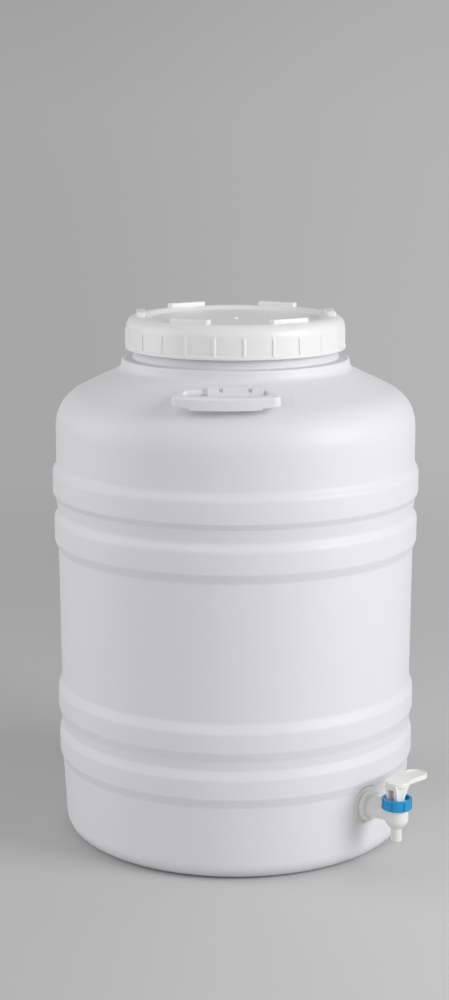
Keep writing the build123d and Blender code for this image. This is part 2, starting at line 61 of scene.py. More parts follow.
TAP_AZIMUTH = math.radians(-44.0)
TAP_Z = 62.0
TAP_SEAT = 182.2  # from the drum's axis to the outside of the flat seat
TAP_SEAT_R = 19.2
TAP_SEAT_WALL = 3.6
TAP_SEAT_INNER_R = 21.5
BARREL_AT = 222.8  # from the drum's axis to the valve's
LEVER_TURN = math.radians(50.0)
PIVOT_Y = 138.9  # distance of each handle's bar from the plane y = 0
PIVOT_Z = 481.5
NECK_R = 105.5
NECK_BORE = 102.0
NECK_TOP = 538.2
COLLAR_TOP = 500.3
THREAD_PITCH = 12.0

# Materials

MIX_A, MIX_B, MIX_RESULT = 6, 7, 2  # colour sockets of a Mix node
SCATTER_RADIUS = (0.004, 0.004, 0.004)


def new_group(name, inputs, outputs):
    """Shader node group with inputs given as (name, kind, value) and outputs as (name, kind)."""
    tree = bpy.data.node_groups.new(name, "ShaderNodeTree")
    for label, kind, value in inputs:
        socket = tree.interface.new_socket(label, in_out="INPUT", socket_type=kind)
        socket.default_value = value
    for label, kind in outputs:
        tree.interface.new_socket(label, in_out="OUTPUT", socket_type=kind)
    return tree, tree.nodes.new("NodeGroupInput"), tree.nodes.new("NodeGroupOutput")


def math_node(nodes, operation):
    """Math node for one operation."""
    node = nodes.new("ShaderNodeMath")
    node.operation = operation
    return node


def bump_node(nodes, distance):
    """Bump node of the given distance in metres."""
    node = nodes.new("ShaderNodeBump")
    node.inputs["Distance"].default_value = distance
    return node


def colour_mix(nodes):
    """Mix node for colours."""
    node = nodes.new("ShaderNodeMix")
    node.data_type = "RGBA"
    return node


def smooth_range(nodes, low, high):
    """Node that goes smoothly from 0 to 1 as its value goes from low to high."""
    node = nodes.new("ShaderNodeMapRange")
    node.interpolation_type = "SMOOTHSTEP"
    node.inputs["From Min"].default_value = low
    node.inputs["From Max"].default_value = high
    return node


def moulded_skin_group():
    """Skin of moulded plastic: satin grain, a softly uneven wall, gloss that varies a little."""
    tree, given, put = new_group(
        "Moulded skin",
        [
            ("Grain size", "NodeSocketFloat", 900.0),
            ("Grain depth", "NodeSocketFloat", 0.1),
            ("Wave size", "NodeSocketFloat", 9.0),
            ("Wave depth", "NodeSocketFloat", 0.1),
            ("Roughness", "NodeSocketFloat", 0.35),
            ("Roughness change", "NodeSocketFloat", 0.06),
        ],
        [("Roughness", "NodeSocketFloat"), ("Normal", "NodeSocketVector")],
    )
    nodes, links = tree.nodes, tree.links
    coords = nodes.new("ShaderNodeTexCoord")
    grain = nodes.new("ShaderNodeTexNoise")
    wave = nodes.new("ShaderNodeTexNoise")
    wave.inputs["Detail"].default_value = 1.0
    patches = nodes.new("ShaderNodeTexNoise")
    patches.inputs["Scale"].default_value = 14.0
    patches.inputs["Detail"].default_value = 3.0
    fine = bump_node(nodes, 0.0001)
    broad = bump_node(nodes, 0.004)
    centred = math_node(nodes, "SUBTRACT")
    centred.inputs[1].default_value = 0.5
    span = math_node(nodes, "MULTIPLY_ADD")
    for noise in (grain, wave, patches):
        links.new(coords.outputs["Object"], noise.inputs["Vector"])
    links.new(given.outputs["Grain size"], grain.inputs["Scale"])
    links.new(given.outputs["Grain depth"], fine.inputs["Strength"])
    links.new(given.outputs["Wave size"], wave.inputs["Scale"])
    links.new(given.outputs["Wave depth"], broad.inputs["Strength"])
    links.new(grain.outputs["Fac"], fine.inputs["Height"])
    links.new(wave.outputs["Fac"], broad.inputs["Height"])
    links.new(broad.outputs["Normal"], fine.inputs["Normal"])
    links.new(patches.outputs["Fac"], centred.inputs[0])
    links.new(centred.outputs["Value"], span.inputs[0])
    links.new(given.outputs["Roughness change"], span.inputs[1])
    links.new(given.outputs["Roughness"], span.inputs[2])
    links.new(span.outputs["Value"], put.inputs["Roughness"])
    links.new(fine.outputs["Normal"], put.inputs["Normal"])
    return tree


def tone_drift_group():
    """Slow drift between two tones over a piece, as in plastic that is not quite even in colour."""
    tree, given, put = new_group(
        "Tone drift",
        [
            ("Colour", "NodeSocketColor", (0.8, 0.8, 0.8, 1.0)),
            ("Second colour", "NodeSocketColor", (0.8, 0.8, 0.8, 1.0)),
            ("Size", "NodeSocketFloat", 5.0),
        ],
        [("Colour", "NodeSocketColor")],
    )
    nodes, links = tree.nodes, tree.links
    coords = nodes.new("ShaderNodeTexCoord")
    noise = nodes.new("ShaderNodeTexNoise")
    noise.inputs["Detail"].default_value = 3.0
    mix = colour_mix(nodes)
    links.new(coords.outputs["Object"], noise.inputs["Vector"])
    links.new(given.outputs["Size"], noise.inputs["Scale"])
    links.new(noise.outputs["Fac"], mix.inputs["Factor"])
    links.new(given.outputs["Colour"], mix.inputs[MIX_A])
    links.new(given.outputs["Second colour"], mix.inputs[MIX_B])
    links.new(mix.outputs[MIX_RESULT], put.inputs["Colour"])
    return tree


skin_group = moulded_skin_group()
drift_group = tone_drift_group()


def placed(material, group):
    """A node group placed in a material."""
    node = material.node_tree.nodes.new("ShaderNodeGroup")
    node.node_tree = group
    return node


def plastic(name, colour, second, roughness, grain=0.1, wave=0.0, subsurface=0.0):
    """Moulded plastic of two near tones with its skin's grain; light may pass a little way in."""
    material = bpy.data.materials.new(name)
    material.use_nodes = True
    links = material.node_tree.links
    shader = material.node_tree.nodes["Principled BSDF"]
    shader.inputs["Subsurface Weight"].default_value = subsurface
    shader.inputs["Subsurface Radius"].default_value = SCATTER_RADIUS
    tone = placed(material, drift_group)
    tone.inputs["Colour"].default_value = (*colour, 1.0)
    tone.inputs["Second colour"].default_value = (*second, 1.0)
    skin = placed(material, skin_group)
    skin.inputs["Roughness"].default_value = roughness
    skin.inputs["Grain depth"].default_value = grain
    skin.inputs["Wave depth"].default_value = wave
    links.new(tone.outputs["Colour"], shader.inputs["Base Color"])
    links.new(skin.outputs["Roughness"], shader.inputs["Roughness"])
    links.new(skin.outputs["Normal"], shader.inputs["Normal"])
    return material


def metal(name, colour, roughness):
    """Plain drawn metal."""
    material = bpy.data.materials.new(name)
    material.use_nodes = True
    shader = material.node_tree.nodes["Principled BSDF"]
    shader.inputs["Base Color"].default_value = (*colour, 1.0)
    shader.inputs["Metallic"].default_value = 1.0
    shader.inputs["Roughness"].default_value = roughness
    return material


milky = plastic(
    "Milky drum plastic", (0.755, 0.75, 0.785), (0.775, 0.77, 0.80), 0.48, grain=0.12, wave=0.12
)
lid_white = plastic("Lid plastic", (0.825, 0.825, 0.825), (0.845, 0.845, 0.845), 0.36)
handle_white = plastic("Handle plastic", (0.79, 0.80, 0.81), (0.81, 0.82, 0.825), 0.34)
tap_white = plastic("Tap plastic", (0.82, 0.815, 0.785), (0.84, 0.83, 0.80), 0.24, grain=0.03)
lever_white = plastic("Lever plastic", (0.85, 0.845, 0.81), (0.87, 0.86, 0.83), 0.22, grain=0.03)
collar_blue = plastic("Blue ring nut", (0.008, 0.30, 0.62), (0.012, 0.32, 0.66), 0.24, grain=0.03)
washer_white = plastic("Soft washer", (0.70, 0.70, 0.68), (0.74, 0.74, 0.72), 0.6)
silicone = plastic("Silicone", (0.75, 0.74, 0.71), (0.77, 0.76, 0.73), 0.42, subsurface=0.3)
steel = metal("Spring steel", (0.55, 0.55, 0.56), 0.28)
pin_steel = metal("Satin steel", (0.86, 0.86, 0.85), 0.55)

LOOKS = {  # of the CAD nodes that are shown as they come
    "lid_gasket": washer_white,
    "tap_outer_washer": washer_white,
    "tap_inner_washer": washer_white,
    "tap_lock_nut": tap_white,
    "tap_collar": collar_blue,
    "tap_bonnet": tap_white,
    "tap_stem": tap_white,
    "lever_pin": pin_steel,
}
for node, material in LOOKS.items():
    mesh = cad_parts[node].data
    mesh.materials.clear()
    mesh.materials.append(material)

# Surfaces

MERGE_WITHIN = 1e-6  # metres
SHARP_ANGLE = math.radians(38)


def add_mesh(name, points, faces):
    """Mesh object from points in mm and faces; doubles are merged and only sharp edges show."""
    mesh = bpy.data.meshes.new(name)
    mesh.from_pydata((points / MM).tolist(), [], faces)
    work = bmesh.new()
    work.from_mesh(mesh)
    bmesh.ops.remove_doubles(work, verts=work.verts, dist=MERGE_WITHIN)
    work.to_mesh(mesh)
    work.free()
    mesh.validate()
    mesh.shade_smooth()
    mesh.set_sharp_from_angle(angle=SHARP_ANGLE)
    thing = bpy.data.objects.new(name, mesh)
    bpy.context.collection.objects.link(thing)
    return thing


def grid_faces(m, n, closed):
    """Quads that join an m by n grid of points; a closed one wraps round in its first direction."""
    index = np.arange(m * n).reshape(m, n)
    if closed:
        index = np.vstack([index, index[:1]])
    quads = [index[:-1, :-1], index[1:, :-1], index[1:, 1:], index[:-1, 1:]]
    return np.stack(quads, axis=-1).reshape(-1, 4).tolist()


def add_grid(name, points, closed=False):
    """Mesh object from an (m, n, 3) array of points."""
    return add_mesh(name, points.reshape(-1, 3), grid_faces(*points.shape[:2], closed))


def reshaped(name, node, formula=None):
    """Copy of a CAD node's mesh, its triangles joined, its points in mm put through formula."""
    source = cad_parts[node].data
    points = np.empty(len(source.vertices) * 3)
    source.vertices.foreach_get("co", points)
    points = points.reshape(-1, 3) * MM
    if formula:
        points = formula(points)
    return add_mesh(name, points, [list(face.vertices) for face in source.polygons])


def finish_piece(thing, body, material, slot, *nodes):
    """Gives a piece its material, lets it ride its body and stand for its CAD nodes; the slot is
    not used.
    """
    thing.data.materials.append(material)
    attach(thing, body)
    if nodes:
        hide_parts(*nodes)
    return thing


def rounded(rows, steps, arc_steps):
    """Outline through rows of (radius, height, corner radius); the result is an (n, 2) array.

    A corner's arc is centred on its bisector and starts r tan(turn / 2) before the corner. The
    straight run up to row i + 1 is cut into lengths of about steps[i].
    """
    points = np.array([row[:2] for row in rows], float)
    out = [points[:1]]
    start = points[0]
    for i in range(1, len(rows)):
        end = points[i]
        corner = rows[i][2]
        arc = np.empty((0, 2))
        if corner:
            into = (points[i] - points[i - 1]) / np.linalg.norm(points[i] - points[i - 1])
            away = (points[i + 1] - points[i]) / np.linalg.norm(points[i + 1] - points[i])
            turn = math.atan2(into[0] * away[1] - into[1] * away[0], float(into @ away))
            end = points[i] - into * corner * math.tan(abs(turn) / 2)
            centre = end + np.array([-into[1], into[0]]) * math.copysign(corner, turn)
            swing = np.linspace(0, turn, arc_steps + 1)[1:, None]
            spoke = end - centre
            across = np.array([-spoke[1], spoke[0]])
            arc = centre + spoke * np.cos(swing) + across * np.sin(swing)
        count = max(1, int(round(np.linalg.norm(end - start) / steps[i - 1])))
        out.append(start + (end - start) * np.linspace(0, 1, count + 1)[1:, None])
        out.append(arc)
        start = arc[-1] if len(arc) else end
    return np.vstack(out)


def ease(x, low, high):
    """Smooth step from 0 at low to 1 at high: t * t * (3 - 2 t)."""
    t = np.clip((x - low) / (high - low), 0, 1)
    return t * t * (3 - 2 * t)


def rotated(x, y, angle):
    """(x, y) turned about the origin."""
    c, s = math.cos(angle), math.sin(angle)
    return x * c - y * s, x * s + y * c


def wrapped(angle):
    """The angle brought into the range from -pi to pi."""
    return (angle + math.pi) % math.tau - math.pi


def turned(profile, angles):
    """Surface of revolution: (r, z) at angle a is (r cos a, r sin a, z)."""
    r, z = profile.T
    a = angles[:, None]
    return np.stack([r * np.cos(a), r * np.sin(a), np.broadcast_to(z, (len(a), len(z)))], axis=-1)


def pushed_out(points, amount):
    """Points moved away from the Z axis by amount."""
    x, y, z = np.moveaxis(points, -1, 0)
    scale = 1 + amount / np.maximum(np.hypot(x, y), 1e-6)
    return np.stack([x * scale, y * scale, z], axis=-1)


def angles_with(base_step, places, offsets):
    """Sorted angles round the circle every base_step, with finer ones at each place plus offset."""
    fine = (np.asarray(places)[:, None] + np.asarray(offsets)[None, :]).ravel()
    reach = max(abs(np.min(offsets)), abs(np.max(offsets))) + base_step * 0.3
    base = np.arange(0, math.tau, base_step)
    gap = np.abs(wrapped(base[:, None] - np.asarray(places)[None, :]))
    every = np.concatenate([fine, base[gap.min(axis=1) > reach]])
    return np.sort(every % math.tau)


THREAD_FADE = math.radians(30)  # over which a screw ridge rises at its start and falls at its end


def thread_ridge(angles, z, foot, turns, width, height):
    """Height of a right-hand screw ridge at each (angle, z).

    The ridge is rounded, climbs THREAD_PITCH a turn and runs from foot up for the given turns.
    """
    end = math.tau * turns
    total = np.zeros(np.broadcast(angles, z).shape)
    for lap in range(int(math.ceil(turns))):
        along = angles % math.tau + math.tau * lap
        away = np.abs(z - (foot + THREAD_PITCH * along / math.tau))
        ends = ease(along, 0, THREAD_FADE) * (1 - ease(along, end - THREAD_FADE, end))
        total = np.maximum(total, height * ends * (1 - ease(away, width * 0.2, width * 0.5)))
    return total


# Drum

WALL = 3.2
BASE_Z = 7.0  # of the base inside the standing ring
TOP_WALL_R = 185.6
CREST_R = 189.6  # of the widest hoop

# Outside of the drum as rows of (radius, height, corner radius), from the middle of the base up.
# Each hoop has a flat crest, a short slope below it and a wider valley with a gentle lean.

FOOT_LINE = [(0, BASE_Z, 0), (138, BASE_Z, 8), (148, 0, 4), (179.2, 0, 18)]
WALL_LINE = [
    (183.5, 78.0, 6),
    (186.6, 87.5, 5),
    (186.6, 106.5, 8),
    (183.7, 116.0, 7),
    (184.6, 125.5, 6),
    (187.1, 135.0, 6),
    (187.1, 154.0, 10),
    (183.4, 164.0, 10),
    (184.7, 304.0, 8),
    (188.5, 313.5, 6),
    (188.5, 336.5, 9),
    (184.5, 342.5, 8),
    (186.4, 357.0, 5),
    (CREST_R, 363.0, 5),
    (CREST_R, 385.5, 10),
    (TOP_WALL_R, 391.5, 10),
]
SHOULDER_LINE = [(TOP_WALL_R, 457.77, 43), (118.0, 490.0, 8), (116.5, COLLAR_TOP, 1.5)]
NECK_LINE = [(NECK_R, COLLAR_TOP, 1.5), (NECK_R, NECK_TOP, 1), (NECK_BORE, NECK_TOP, 0)]

# Inside of the drum where it isn't the wall's line moved in, from the mouth down and along the base

NECK_LINING = [
    (NECK_BORE, NECK_TOP, 0),
    (NECK_BORE, 494.5, 3),
    (116.3, 487.4, 2),
    (TOP_WALL_R - WALL, 455.8, 40),
]
FOOT_LINING = [(176, WALL, 15), (149, WALL, 4), (139, BASE_Z + WALL, 6), (0, BASE_Z + WALL, 0)]


def drum_profile():
    """(radius, height) of the outside of the drum, from the middle of the base up to the mouth."""
    steps = [9, 3, 6, 1.2, 1.2] + [5] * (len(WALL_LINE) - 2) + [10, 4, 3, 4, 0.6, 2]
    return rounded(FOOT_LINE + WALL_LINE + SHOULDER_LINE + NECK_LINE, steps, 7)


def drum_lining():
    """(radius, height) of the inside, from the mouth down to the middle of the base."""
    wall = [(r - WALL, z, corner) for r, z, corner in WALL_LINE[::-1]]
    rows = NECK_LINING + wall + FOOT_LINING
    return rounded(rows, [12] * (len(rows) - 1), 3)


SHOULDER_FOOT = 440.0
SHOULDER_TOP = 490.5
SHOULDER_IN_R = 117.5


def shoulder_height(r):
    """Height of the shoulder's outside at radius r, read off the profile."""
    radius, height = drum_profile().T
    on = (height > SHOULDER_FOOT) & (height < SHOULDER_TOP) & (radius > SHOULDER_IN_R)
    order = np.argsort(radius[on])
    return np.interp(r, radius[on][order], height[on][order])


SINK_DEPTH = 6.0
SINK_HALF_LENGTH = (46.0, 50.0)  # full depth up to the first distance, none from the second on
SINK_HALF_WIDTH = (6.5, 10.0)


def sink_shoulder(points):
    """Lowers the wall under each lug so that the separate lug patch can carry the bar's groove."""
    x, y, z = np.moveaxis(points, -1, 0)
    along = 1 - ease(np.abs(x), *SINK_HALF_LENGTH)
    across = 1 - ease(np.abs(np.abs(y) - PIVOT_Y), *SINK_HALF_WIDTH)
    return np.stack([x, y, z - SINK_DEPTH * along * across * (z > SHOULDER_FOOT)], axis=-1)


SEAT_EDGE = 1.1  # width of the band in which the wall passes over to the flat seat


def press_tap_seat(points, seat, radius):
    """Moves the wall near the tap's axis, within radius, onto a flat plane.

    The plane stands at distance seat from the drum's axis.
    """
    x, y, z = np.moveaxis(points, -1, 0)
    out, side = rotated(x, y, -TAP_AZIMUTH)
    near = 1 - ease(np.hypot(side, z - TAP_Z), radius, radius + SEAT_EDGE)
    shift = (seat - out) * near * (out > seat / 2)
    dx, dy = rotated(shift, 0, TAP_AZIMUTH)
    return np.stack([x + dx, y + dy, z], axis=-1)


SEAM_HEIGHT = 0.35
SEAM_WIDTH = 0.5
BASE_SEAM = 2.2  # times the height on the wall


def raise_seam(points):
    """Mould seam: a low ridge where the wall crosses the plane y = 0, and across the base.

    It dies away on the widest hoop, whose crest bounds the part.
    """
    x, y, z = np.moveaxis(points, -1, 0)
    ridge = SEAM_HEIGHT * np.exp(-((y / SEAM_WIDTH) ** 2))
    room = np.clip(CREST_R - np.hypot(x, y), 0, SEAM_HEIGHT)
    on_wall = (z > 2) & (z < COLLAR_TOP)
    on_base = (z > BASE_Z - 2) & (z < BASE_Z + 1)
    seamed = pushed_out(points, np.minimum(ridge, room) * on_wall)
    seamed[..., 2] -= BASE_SEAM * ridge * on_base
    return seamed


SEAM_OFFSETS = np.radians([-0.4, -0.2, -0.08, 0.0, 0.08, 0.2, 0.4])
TAP_ARC = 7.5  # degrees to either side of the tap that have finer steps
TAP_STEP = 0.33
NECK_THREAD = (509.0, 1.9, 4.4, 2.3)  # foot, turns, width and height


def make_drum_skin():
    """Drum: the outer and inner profiles turned about Z in one closed sheet.

    The neck carries a screw ridge, the wall a flat seat for the tap and a mould seam on two sides.
    """
    tap = TAP_AZIMUTH + np.radians(np.arange(-TAP_ARC, TAP_ARC, TAP_STEP))
    angles = angles_with(math.radians(1.25), [0.0, math.pi], SEAM_OFFSETS)
    far = np.abs(wrapped(angles - TAP_AZIMUTH)) > math.radians(TAP_ARC + 0.2)
    angles = np.sort(np.concatenate([angles[far], tap % math.tau]))
    outer = turned(drum_profile(), angles)
    on_neck = (outer[..., 2] > COLLAR_TOP + 2) & (outer[..., 2] < NECK_TOP - 1.2)
    outer = pushed_out(outer, thread_ridge(angles[:, None], outer[..., 2], *NECK_THREAD) * on_neck)
    outer = press_tap_seat(sink_shoulder(raise_seam(outer)), TAP_SEAT, TAP_SEAT_R)
    inner = sink_shoulder(turned(drum_lining(), angles))
    inner = press_tap_seat(inner, TAP_SEAT - TAP_SEAT_WALL, TAP_SEAT_INNER_R)
    return add_grid("drum_skin", np.concatenate([outer, inner[:, 1:]], axis=1), closed=True)


LUG_HALF = 27.0
LUG_R = 8.0
LUG_STEEP = LUG_R - 1.1  # distance from the bar's axis beyond which the bump's side is a slope
LUG_SLOPE = 1.75
LUG_SOFT = 1.2  # of the crease round the bump's foot
SLOT_AT = 14.0
SLOT_HALF = 2.0
SLOT_FLOOR = PIVOT_Z + 2.2
GROOVE_HALF = 48.2
GROOVE_FADE = 33.0  # where the front groove starts to run out on the side its handle has slid from
GROOVE_R = 5.7
PATCH_HALF = 59.0
PATCH_LIFT = 0.05  # of the patch above the wall
PATCH_DROP = 0.7  # of its rim into the wall


def make_lug(sign):
    """Lug patch on the shoulder: a height field z(x, d), with d the distance outwards from the bar.

    The height is the shoulder's own, plus a bump of radius LUG_R round the bar's axis, less two
    slots, less the half-round groove that leaves room for the bar outside the bump.
    """
    edges = np.array([SLOT_AT - SLOT_HALF, SLOT_AT + SLOT_HALF, LUG_HALF, GROOVE_HALF])
    near = np.array([-0.9, -0.45, -0.2, 0.0, 0.2, 0.45, 0.9])
    fine = (edges[:, None] + near[None, :]).ravel()
    half = np.unique(np.concatenate([np.arange(0, PATCH_HALF, 1.5), fine]))
    xs = np.concatenate([-half[::-1], half[1:]])
    ds = np.concatenate([np.arange(-16, -9), np.arange(-9, 9.01, 0.36), np.arange(10, 18)])
    x, d = np.meshgrid(xs, ds, indexing="ij")
    base = shoulder_height(np.hypot(x, PIVOT_Y + d)) + PATCH_LIFT
    groove = PIVOT_Z - np.sqrt(np.maximum(GROOVE_R ** 2 - d ** 2, 0))
    start = np.where((x < 0) | (sign > 0), GROOVE_HALF - 0.6, GROOVE_FADE)
    in_groove = (1 - ease(np.abs(x), start, GROOVE_HALF + 0.3)) * (np.abs(d) < GROOVE_R)
    ground = base + (np.minimum(base, groove) - base) * in_groove
    cap = PIVOT_Z + np.sqrt(LUG_R ** 2 - np.minimum(np.abs(d), LUG_STEEP) ** 2)
    cap = cap - np.maximum(np.abs(d) - LUG_STEEP, 0) * LUG_SLOPE
    bump = np.maximum(base, cap) + LUG_SOFT * np.exp(-np.abs(cap - base) / LUG_SOFT) * 0.5
    from_slot = np.abs(np.abs(x) - SLOT_AT)
    in_slot = (1 - ease(from_slot, SLOT_HALF - 0.25, SLOT_HALF + 0.25)) * (cap > base)
    bump = bump + (np.minimum(bump, SLOT_FLOOR) - bump) * in_slot
    z = ground + (bump - ground) * (1 - ease(np.abs(x), LUG_HALF - 0.3, LUG_HALF + 0.3))
    rim = (np.abs(x) > PATCH_HALF - 0.6) | (d < ds[0] + 0.1) | (d > ds[-1] - 0.1)
    points = np.stack([x * -sign, (PIVOT_Y + d) * sign, z - PATCH_DROP * rim], axis=-1)
    return add_grid("lug_rear" if sign > 0 else "lug_front", points)


finish_piece(make_drum_skin(), "drum", milky, "drum_plastic", "drum_body")
for side in (-1, 1):
    finish_piece(make_lug(side), "drum", milky, "drum_plastic")

# Lid

LID_FOOT = 510.0
LID_TOP = 543.8
LID_R = 112.2
LID_BORE = 109.1
LID_FLOOR = 539.6  # of the recess on top
RECESS_R = 91.5
BEAD_PROUD = 0.9
SEALING_FACE = 540.7
SEALING_IN_R = 95.6
UNDERSIDE = 536.5
BORE_TOP = 534.0  # of the stretch that carries the screw ridge
LID_THREAD = (509.0 + THREAD_PITCH / 2, 1.6, 4.0, 2.1)  # foot, turns, width and height
RIB_COUNT = 24
RIB_TURN = math.radians(-85.7)
RIB_PROUD = 1.0
RIB_FLANK = (0.8, 2.0)  # distances from a rib's middle at which its side begins and ends
RIB_FOOT = 514.0
RIB_FADE = (528.5, 533.5)  # heights between which a rib sinks into the rounded rim
RIB_OFFSETS = np.array([-2.3, -2.0, -1.7, -1.4, -1.1, -0.8, 0, 0.8, 1.1, 1.4, 1.7, 2.0, 2.3])
BAR_COUNT = 6
BAR_TURN = math.radians(2.7)
BAR_RING_R = 97.0
BAR_TOP = 548.2
BAR_SIZE = (9.0, 42.0, 8.9)
NUB_R = 2.6
NUB_PROUD = 1.2


def lid_outside():
    """(radius, height) of the lid from the middle of its disc, over the rim to the skirt's foot."""
    rows = [
        (0, LID_FLOOR, 0),
        (RECESS_R - 4, LID_FLOOR, 6),
        (RECESS_R + 2, LID_TOP, 3),
        (LID_R, LID_TOP, 11.5),
        (LID_R, LID_FOOT + 3.9, 0.7),
        (LID_R + BEAD_PROUD, LID_FOOT + 3, 0.7),
        (LID_R + BEAD_PROUD, LID_FOOT, 0.7),
        (LID_BORE, LID_FOOT, 0),
    ]
    return rounded(rows, [12, 1.5, 2, 1.2, 1, 1, 2], 8)


def lid_inside():
    """(radius, height) of the lid's inside, from the skirt's foot up and in to the middle."""
    rows = [
        (LID_BORE, LID_FOOT, 0),
        (LID_BORE, SEALING_FACE, 5),
        (SEALING_IN_R, SEALING_FACE, 0.5),
        (SEALING_IN_R, UNDERSIDE, 1),
        (0, UNDERSIDE, 0),
    ]
    return rounded(rows, [0.8, 4, 2, 12], 5)


def make_lid_skin():
    """Lid: both profiles turned about Z in one closed sheet.

    Ribs stand out on the skirt: each is a smooth step across its width that rises steeply at its
    foot and sinks into the rounded rim. A screw ridge stands inwards in the bore.
    """
    rib_angles = RIB_TURN + math.tau * np.arange(RIB_COUNT) / RIB_COUNT
    angles = angles_with(math.radians(1.8), rib_angles, RIB_OFFSETS / LID_R)
    away = np.abs(wrapped(angles[:, None] - rib_angles[None, :])).min(axis=1)[:, None]
    outer = turned(lid_outside(), angles)
    z = outer[..., 2]
    rise = 0.2 * ease(z, RIB_FOOT - 2, RIB_FOOT) + 0.8 * ease(z, RIB_FOOT - 0.6, RIB_FOOT)
    rib = (1 - ease(away * LID_R, *RIB_FLANK)) * rise * (1 - ease(z, *RIB_FADE))
    outer = pushed_out(outer, RIB_PROUD * rib)
    inner = turned(lid_inside(), angles)
    bore = (inner[..., 2] > LID_FOOT + 1) & (inner[..., 2] < BORE_TOP)
    bore &= np.hypot(inner[..., 0], inner[..., 1]) > LID_BORE - 0.01
    inner = pushed_out(inner, -thread_ridge(angles[:, None], inner[..., 2], *LID_THREAD) * bore)
    return add_grid("lid_skin", np.concatenate([outer, inner[:, 1:]], axis=1), closed=True)


def rounded_block(size, radius, steps=4):
    """Points and faces of a block with rounded edges, centred on the origin.

    Every point of a small ball of the given radius is moved out by the block's inner half sizes,
    with the sign of its own octant: x = sign * inner + radius * direction, and so for y and z.
    """
    quarter = np.linspace(0, math.pi / 2, steps + 1)
    turn = np.concatenate([quarter + k * math.pi / 2 for k in range(4)])[:, None]
    lift = np.concatenate([quarter - math.pi / 2, quarter])[None, :]
    sx = np.repeat([1, -1, -1, 1], steps + 1)[:, None]
    sy = np.repeat([1, 1, -1, -1], steps + 1)[:, None]
    sz = np.repeat([-1, 1], steps + 1)[None, :]
    inner = np.asarray(size) / 2 - radius
    x = sx * inner[0] + radius * np.cos(turn) * np.cos(lift)
    y = sy * inner[1] + radius * np.sin(turn) * np.cos(lift)
    z = np.broadcast_to(sz * inner[2] + radius * np.sin(lift), x.shape)
    faces = grid_faces(*x.shape, closed=True)
    index = np.arange(x.size).reshape(x.shape)
    faces.append(index[::-1, 0].tolist())
    faces.append(index[:, -1].tolist())
    return np.stack([x, y, z], axis=-1).reshape(-1, 3), faces


def make_bar(number):
    """One of the grip bars on the lid's rim, turned and moved to its place."""
    points, faces = rounded_block(BAR_SIZE, 1.3)
    angle = BAR_TURN + math.tau * number / BAR_COUNT
    x, y = rotated(points[:, 0] + BAR_RING_R, points[:, 1], angle)
    z = points[:, 2] + BAR_TOP - BAR_SIZE[2] / 2
    return add_mesh(f"lid_bar_{number + 1}", np.stack([x, y, z], axis=-1), faces)


def make_nub():
    """Moulding nub in the middle of the disc: a flat dome."""
    top = LID_FLOOR + NUB_PROUD
    rows = [(NUB_R + 0.1, LID_FLOOR - 0.4, 0), (NUB_R, top, 0.5), (0, top, 0)]
    angles = np.radians(np.arange(0, 360, 15))
    return add_grid("lid_nub", turned(rounded(rows, [0.6, 1], 5), angles), closed=True)


finish_piece(make_lid_skin(), "lid", lid_white, "lid_plastic", "lid")
for number in range(BAR_COUNT):
    finish_piece(make_bar(number), "lid", lid_white, "lid_plastic")
finish_piece(make_nub(), "lid", lid_white, "lid_plastic")

# Handles and tap

HANDLE_DROOP = math.radians(7.5)
FRONT_SLID = -9.0  # how far along X the front handle has slid on its bar
HINGE_HALF = 33.7
SPREAD_SHARE = 0.45
SPREAD_REACH = 28.0


def spread_arms(sign, slid):
    """Formula for a handle whose arms run slantwise from the hinge out to the grip's corners.

    With u along the bar from the handle's own middle and v the distance from the bar, |u| shrinks
    by SPREAD_SHARE (|u| - HINGE_HALF) at the bar, and by less and less of it up to SPREAD_REACH.
    """

    def formula(points):
        x, y, z = points.T
        u = x - slid
        out = sign * y - PIVOT_Y
        v = out * math.cos(HANDLE_DROOP) - (z - PIVOT_Z) * math.sin(HANDLE_DROOP)
        fading = 1 - np.clip(v / SPREAD_REACH, 0, 1)
        narrow = SPREAD_SHARE * np.maximum(np.abs(u) - HINGE_HALF, 0) * fading
        return np.stack([u - np.sign(u) * narrow + slid, y, z], axis=-1)

    return formula


BARREL = rotated(BARREL_AT, 0, TAP_AZIMUTH)  # the valve's axis
WAIST_AT = 16.1  # from the valve's axis, along the lever
WAIST_LENGTH = 10.0
WAIST_GAIN = 0.28
CHEEK_FOOT = 77.2
CHEEK_CUT = 5.0


def shape_lever(points):
    """Lever with a fuller waist: it grows across by WAIST_GAIN, as a bell round the waist.

    The lower front corners of the two cheeks go back by CHEEK_CUT, which bares the ring nut.
    """
    x, y, z = points.T
    along, across = rotated(x - BARREL[0], y - BARREL[1], -LEVER_TURN)
    across = across * (1 + WAIST_GAIN * np.exp(-(((along - WAIST_AT) / WAIST_LENGTH) ** 2)))
    low_front = (along > 3) & (z < CHEEK_FOOT + 1)
    x, y = rotated(along - CHEEK_CUT * low_front, across, LEVER_TURN)
    return np.stack([BARREL[0] + x, BARREL[1] + y, z], axis=-1)


BOWL_LIFT = 2.6
BOWL_DEPTHS = (2, 9)  # below TAP_Z: where the lift sets in and where it is full
TIP_DEPTHS = (17.5, 20.5)  # where it starts to fade and where it ends
BOWL_R = 13.2  # what lies beyond it is the flange and shank
CHAMBER_R = 9.45
CHAMBER_DEPTH = 10.2


def shape_tap_body(points):
    """Valve barrel whose bowl narrows BOWL_LIFT higher on the outside."""
    x, y, z = points.T
    r = np.hypot(x - BARREL[0], y - BARREL[1])
    depth = TAP_Z - z
    outside = (r < BOWL_R) & ((r > CHAMBER_R) | (depth > CHAMBER_DEPTH))
    lift = BOWL_LIFT * ease(depth, *BOWL_DEPTHS) * (1 - ease(depth, *TIP_DEPTHS))
    return np.stack([x, y, z + lift * outside], axis=-1)


